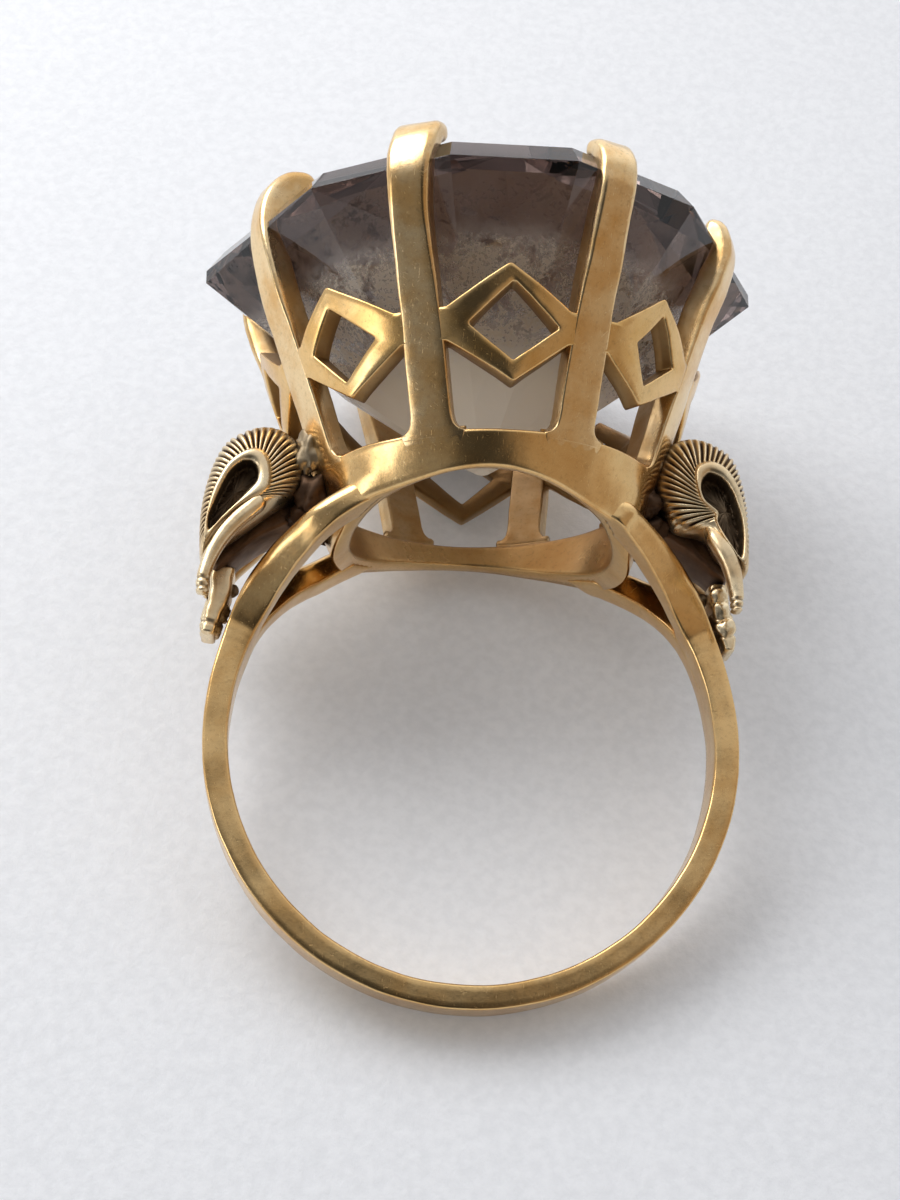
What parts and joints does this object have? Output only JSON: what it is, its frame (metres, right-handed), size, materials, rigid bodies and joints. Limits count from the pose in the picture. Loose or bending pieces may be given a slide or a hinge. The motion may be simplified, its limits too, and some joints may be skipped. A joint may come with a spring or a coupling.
{
  "type": "cocktail ring",
  "caption": "Gold ring with a large faceted smoky stone in an open claw basket with lozenge frames, split shoulders and scrolled leaf ornaments.",
  "frame": {"origin": "centre of the finger hole", "axes": "+Z towards the stone, +Y along the finger hole's axis, +X to the right"},
  "size_m": [0.0208, 0.0194, 0.0297],
  "materials": {
    "smoky_quartz": "polished, smoky brown-grey",
    "gold_collet": "worn polish with fine scratches",
    "gold_hoop": "worn polish with fine scratches",
    "gold_claw": "worn polish, brighter at the tips",
    "gold_lozenge": "worn polish with darker inner edges",
    "gold_engraved": "engraved ribs with dark grooves",
    "gold_oxidised": "dull, oxidised recess"
  },
  "bodies": {
    "root": {"quartz_stone": "smoky_quartz", "collet_band": "gold_collet", "hoop": "gold_hoop", "claw_1": "gold_claw", "claw_2": "gold_claw", "claw_3": "gold_claw", "claw_4": "gold_claw", "claw_5": "gold_claw", "claw_6": "gold_claw", "claw_7": "gold_claw", "claw_8": "gold_claw", "lozenge_1": "gold_lozenge", "lozenge_2": "gold_lozenge", "lozenge_3": "gold_lozenge", "lozenge_4": "gold_lozenge", "lozenge_5": "gold_lozenge", "lozenge_6": "gold_lozenge", "lozenge_7": "gold_lozenge", "lozenge_8": "gold_lozenge", "arm_left_front": "gold_hoop", "arm_left_back": "gold_hoop", "arm_right_front": "gold_hoop", "arm_right_back": "gold_hoop", "scroll_left_front": "gold_engraved", "scroll_left_back": "gold_engraved", "scroll_right_front": "gold_engraved", "scroll_right_back": "gold_engraved", "backplate_left": "gold_oxidised", "backplate_right": "gold_oxidised", "tail_left": "gold_engraved", "tail_right": "gold_engraved"}
  },
  "joints": []
}
